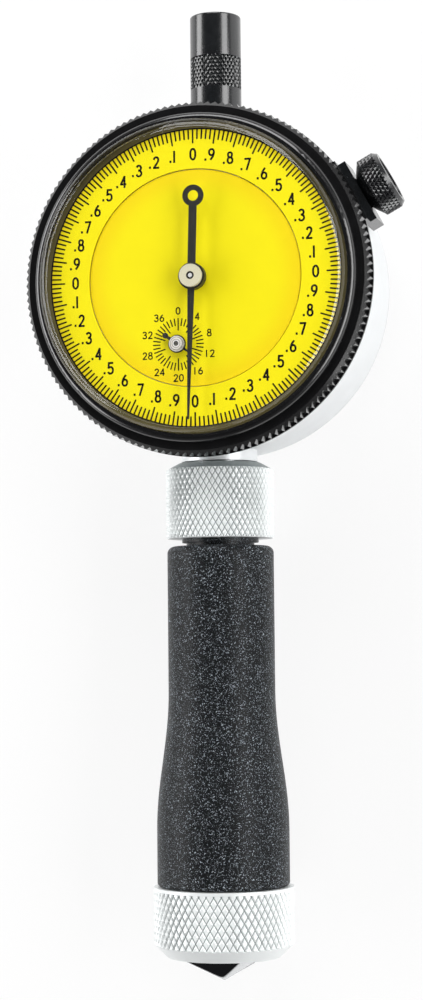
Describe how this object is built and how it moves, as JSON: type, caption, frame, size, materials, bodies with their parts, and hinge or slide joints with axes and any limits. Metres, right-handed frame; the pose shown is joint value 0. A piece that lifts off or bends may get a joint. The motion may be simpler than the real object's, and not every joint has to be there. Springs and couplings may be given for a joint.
{
  "type": "internal chamfer gauge",
  "caption": "Hand-held dial gauge whose spring-loaded fluted cone plunger and flat anvil read the top diameter of a countersink or internal chamfer.",
  "frame": {"origin": "centre of the anvil's flat measuring face, on the plunger axis", "axes": "+Z is the dial's normal, +Y runs along the plunger axis from the point to the spindle cap, +X is the side of the bezel clamp; the gauge lies on its back"},
  "size_m": [0.0609, 0.1593, 0.0304],
  "materials": {
    "wrinkle_black": "black wrinkle enamel",
    "knurled_aluminium": "bright turned aluminium with a diamond knurl",
    "blackened_steel": "black oxide, knurled",
    "black_bezel": "satin black lacquer",
    "satin_case": "satin chrome plate",
    "polished_steel": "ground and lapped hard steel",
    "steel": "machined steel",
    "spring_steel": "drawn spring wire",
    "brass": "stamped and turned brass",
    "dial_yellow": "yellow printed enamel",
    "hand_black": "black lacquer",
    "hub_white": "off-white lacquer",
    "hub_silver": "bright plated brass",
    "crystal_clear": "clear moulded acrylic"
  },
  "bodies": {
    "frame": {"handle": "wrinkle_black", "plunger_bush": "brass", "plunger_spring": "spring_steel", "collet": "blackened_steel", "stem": "polished_steel", "lower_bushing": "brass", "upper_bushing": "brass", "case": "satin_case", "back_cover": "satin_case", "back_screws": "steel", "lower_plate": "brass", "upper_plate": "brass", "pillars": "brass", "plate_screws": "steel", "mount_screws": "steel", "arbor_bushes": "brass", "rack_bridge": "brass", "bridge_screws": "steel", "spring_post": "steel", "return_spring": "spring_steel", "hairspring": "spring_steel", "hairspring_stud": "brass", "inner_dial": "dial_yellow", "bezel_spring": "spring_steel", "clamp_bar": "blackened_steel"},
    "anvil": {"anvil_collar": "knurled_aluminium"},
    "collar": {"clamp_collar": "knurled_aluminium"},
    "cap": {"top_cap": "blackened_steel"},
    "plunger_train": {"plunger": "polished_steel", "plunger_rod": "steel", "stop_ring": "spring_steel", "contact_point": "steel", "rack_spindle": "steel", "guide_pin": "steel", "spring_pin": "steel"},
    "counter_train": {"counter_arbor": "steel", "main_gear": "brass", "counter_hand": "hand_black", "counter_hub": "hub_silver"},
    "centre_train": {"centre_arbor": "steel", "main_hand": "hand_black", "hub_disc": "hub_white"},
    "takeup_train": {"takeup_arbor": "steel", "takeup_gear": "brass"},
    "bezel_group": {"bezel": "black_bezel", "crystal": "crystal_clear", "dial_ring": "dial_yellow"},
    "clamp_screw": {"thumb_screw": "blackened_steel"}
  },
  "joints": [
    {"name": "plunger_slide", "type": "slide", "parent": "frame", "child": "plunger_train", "axis": [0, 1, 0], "range_m": [0, 0.00394], "stiffness_N_per_m": 240, "springref_m": -0.004, "deforming": ["plunger_spring", "return_spring"]},
    {"name": "counter_arbor_turn", "type": "hinge", "parent": "frame", "child": "counter_train", "pos_m": [-0.00275, 0.09875, 0], "axis": [0, 0, 1], "range_deg": [0, 144.68]},
    {"name": "centre_arbor_turn", "type": "hinge", "parent": "frame", "child": "centre_train", "pos_m": [0, 0.1094, 0], "axis": [0, 0, 1], "range_deg": [-1446.77, 0]},
    {"name": "takeup_arbor_turn", "type": "hinge", "parent": "frame", "child": "takeup_train", "pos_m": [0.00296, 0.11574, 0], "axis": [0, 0, 1], "range_deg": [0, 241.13], "deforming": ["hairspring"]},
    {"name": "bezel_turn", "type": "hinge", "parent": "frame", "child": "bezel_group", "pos_m": [0, 0.1094, 0], "axis": [0, 0, 1], "continuous": true},
    {"name": "thumb_screw_turn", "type": "hinge", "parent": "frame", "child": "clamp_screw", "pos_m": [0.02644, 0.12358, 0.005], "axis": [0.8813, 0.4726, 0], "range_deg": [0, 180]},
    {"name": "clamp_collar_turn", "type": "hinge", "parent": "frame", "child": "collar", "pos_m": [0, 0.07, 0], "axis": [0, 1, 0], "range_deg": [0, 120]},
    {"name": "anvil_collar_turn", "type": "hinge", "parent": "frame", "child": "anvil", "pos_m": [0, 0.005, 0], "axis": [0, -1, 0], "range_deg": [0, 60]},
    {"name": "top_cap_turn", "type": "hinge", "parent": "frame", "child": "cap", "pos_m": [0, 0.145, 0], "axis": [0, 1, 0], "range_deg": [0, 120]}
  ],
  "couplings": [
    {"joint": "counter_arbor_turn", "follows": "plunger_slide", "rad_per_m": 628.32},
    {"joint": "centre_arbor_turn", "follows": "plunger_slide", "rad_per_m": -6283.2},
    {"joint": "takeup_arbor_turn", "follows": "plunger_slide", "rad_per_m": 1047.2}
  ]
}
